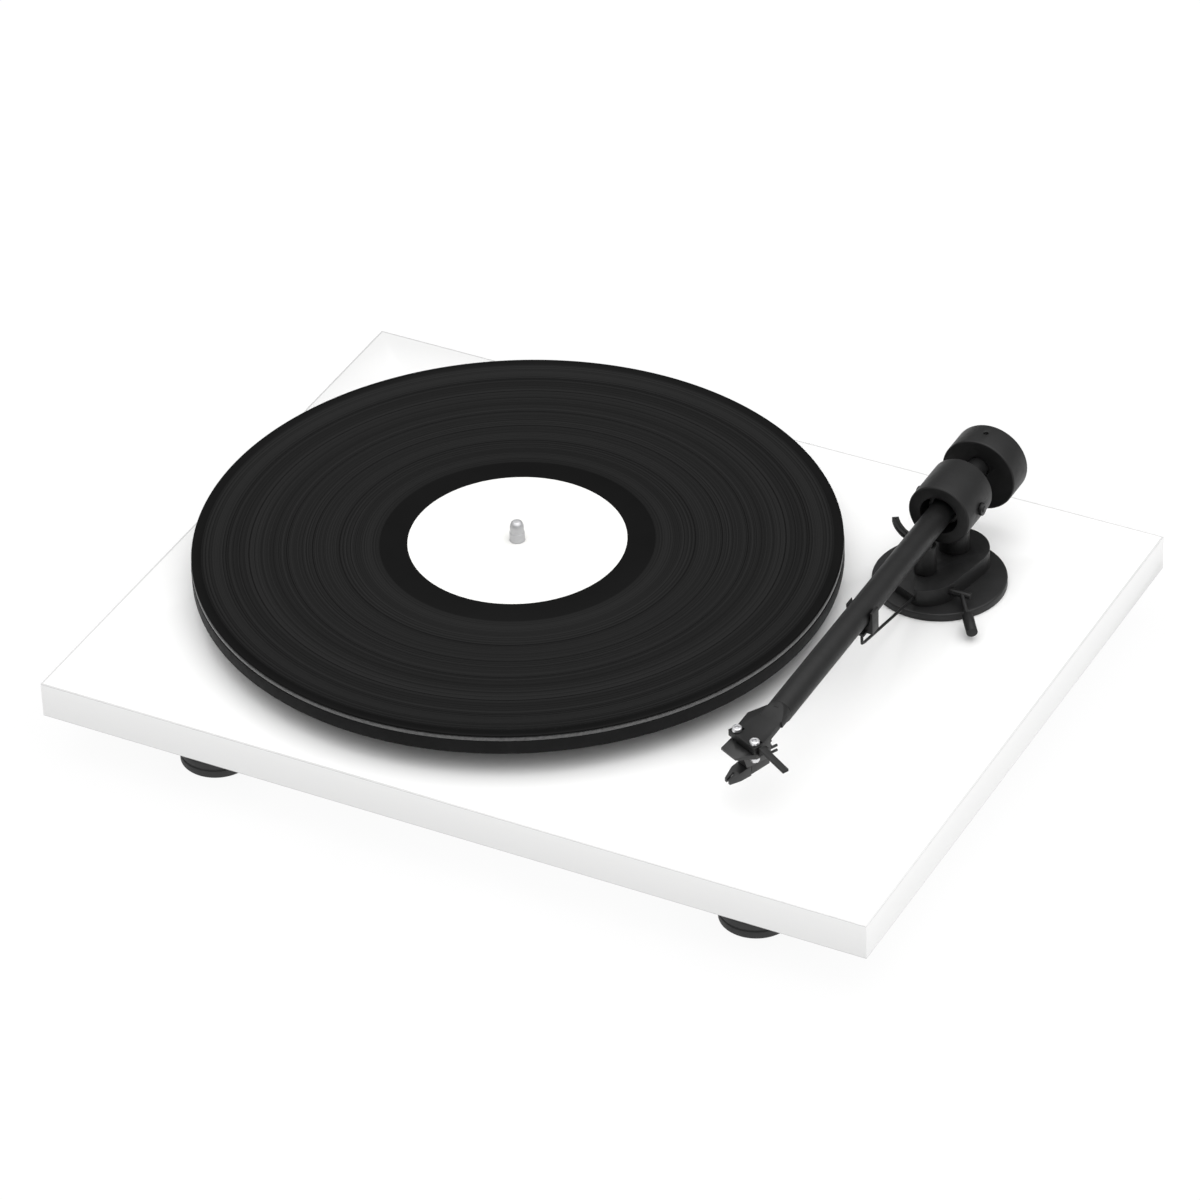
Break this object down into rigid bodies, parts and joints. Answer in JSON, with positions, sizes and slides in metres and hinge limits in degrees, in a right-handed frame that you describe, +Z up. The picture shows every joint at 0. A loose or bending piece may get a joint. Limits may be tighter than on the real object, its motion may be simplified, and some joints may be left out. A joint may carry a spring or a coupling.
{
  "type": "record player",
  "caption": "Belt-driven turntable on a slab plinth, with a round platter, mat and disc, a straight pivoted tonearm with headshell, cartridge, lift and rest.",
  "frame": {"origin": "on the surface the feet stand on, below the middle of the plinth", "axes": "+X towards the tonearm's side, seen from the front, +Y towards the back, +Z up"},
  "size_m": [0.42, 0.325, 0.1],
  "materials": {
    "plinth_white": "fibreboard under satin white lacquer",
    "platter_black": "satin black, fine turned grain",
    "arm_black": "satin black",
    "vinyl": "pressed vinyl with fine grooves",
    "label_paper": "plain matt white paper",
    "felt": "grey wool felt",
    "rubber": "matt moulded rubber",
    "moulded_black": "moulded black plastic",
    "gloss_black": "smooth black plastic",
    "steel": "turned steel",
    "chrome": "bright plating",
    "brass": "turned brass",
    "circuit": "green coated board"
  },
  "bodies": {
    "base": {"plinth": "plinth_white", "foot_front_left": "rubber", "foot_front_right": "rubber", "foot_rear_left": "rubber", "foot_rear_right": "rubber", "bottom_cover": "moulded_black", "cover_screw_1": "steel", "cover_screw_2": "steel", "cover_screw_3": "steel", "cover_screw_4": "steel", "motor": "steel", "motor_mount": "moulded_black", "drive_belt": "rubber", "circuit_board": "circuit", "terminal_block": "moulded_black", "ground_post": "steel", "power_socket": "gloss_black", "switch_housing": "moulded_black", "phono_socket_left": "chrome", "phono_socket_right": "chrome", "main_bearing": "brass", "thrust_ball": "steel", "arm_base_disc": "arm_black", "arm_platform": "arm_black", "arm_pillar": "arm_black", "pillar_nut": "steel", "arm_rest_wire": "arm_black", "arm_rest_cradle": "moulded_black", "lift_post": "arm_black"},
    "switch": {"switch_rocker": "gloss_black"},
    "turning_platter": {"spindle": "steel", "sub_platter": "moulded_black", "platter": "platter_black", "felt_mat": "felt"},
    "record": {"record": "vinyl", "record_label": "label_paper"},
    "motor_rotor": {"motor_pulley": "brass"},
    "arm_swivel": {"arm_housing": "arm_black", "yaw_shaft": "arm_black", "pivot_screw_left": "arm_black", "pivot_screw_right": "arm_black"},
    "arm_beam": {"gimbal_block": "moulded_black", "arm_tube": "arm_black", "counterweight_stub": "arm_black", "headshell": "arm_black", "finger_lift": "arm_black", "cartridge_body": "gloss_black", "stylus": "moulded_black", "cartridge_screw_left": "chrome", "cartridge_screw_right": "chrome", "cartridge_nut_left": "steel", "cartridge_nut_right": "steel"},
    "weight": {"counterweight": "arm_black", "counterweight_screw": "steel"},
    "guard": {"stylus_guard": "gloss_black"},
    "lift_lever": {"lift_lever": "arm_black", "lever_knob": "arm_black"},
    "lift_bank": {"lift_bank": "arm_black"}
  },
  "joints": [
    {"name": "platter_spin", "type": "hinge", "parent": "base", "child": "turning_platter", "pos_m": [-0.049, 0.0039, 0.055], "axis": [0, 0, -1], "continuous": true},
    {"name": "motor_spin", "type": "hinge", "parent": "base", "child": "motor_rotor", "pos_m": [-0.1325, 0.0723, 0.05], "axis": [0, 0, -1], "continuous": true},
    {"name": "record_lift", "type": "slide", "parent": "turning_platter", "child": "record", "axis": [0, 0, 1], "range_m": [0, 0.015]},
    {"name": "arm_swing", "type": "hinge", "parent": "base", "child": "arm_swivel", "pos_m": [0.132, 0.0968, 0.0846], "axis": [0, 0, -1], "range_deg": [0, 46]},
    {"name": "arm_tip", "type": "hinge", "parent": "arm_swivel", "child": "arm_beam", "pos_m": [0.132, 0.093, 0.0846], "axis": [-1, 0, 0], "range_deg": [0, 12]},
    {"name": "weight_slide", "type": "slide", "parent": "arm_beam", "child": "weight", "axis": [0, -1, 0], "range_m": [0, 0.012]},
    {"name": "guard_pull", "type": "slide", "parent": "arm_beam", "child": "guard", "axis": [-0.4384, -0.8988, 0], "range_m": [0, 0.012]},
    {"name": "lift_lever_turn", "type": "hinge", "parent": "base", "child": "lift_lever", "pos_m": [0.1486, 0.069, 0.052], "axis": [-1, 0, 0], "range_deg": [0, 70]},
    {"name": "lift_bank_rise", "type": "slide", "parent": "base", "child": "lift_bank", "axis": [0, 0, 1], "range_m": [0, 0.0026]},
    {"name": "switch_rock", "type": "hinge", "parent": "base", "child": "switch", "pos_m": [-0.176, -0.104, 0.021], "axis": [1, 0, 0], "range_deg": [0, 7]}
  ],
  "couplings": [
    {"joint": "motor_spin", "follows": "platter_spin", "ratio": 8.3333},
    {"joint": "lift_lever_turn", "follows": "lift_bank_rise", "rad_per_m": 436}
  ]
}
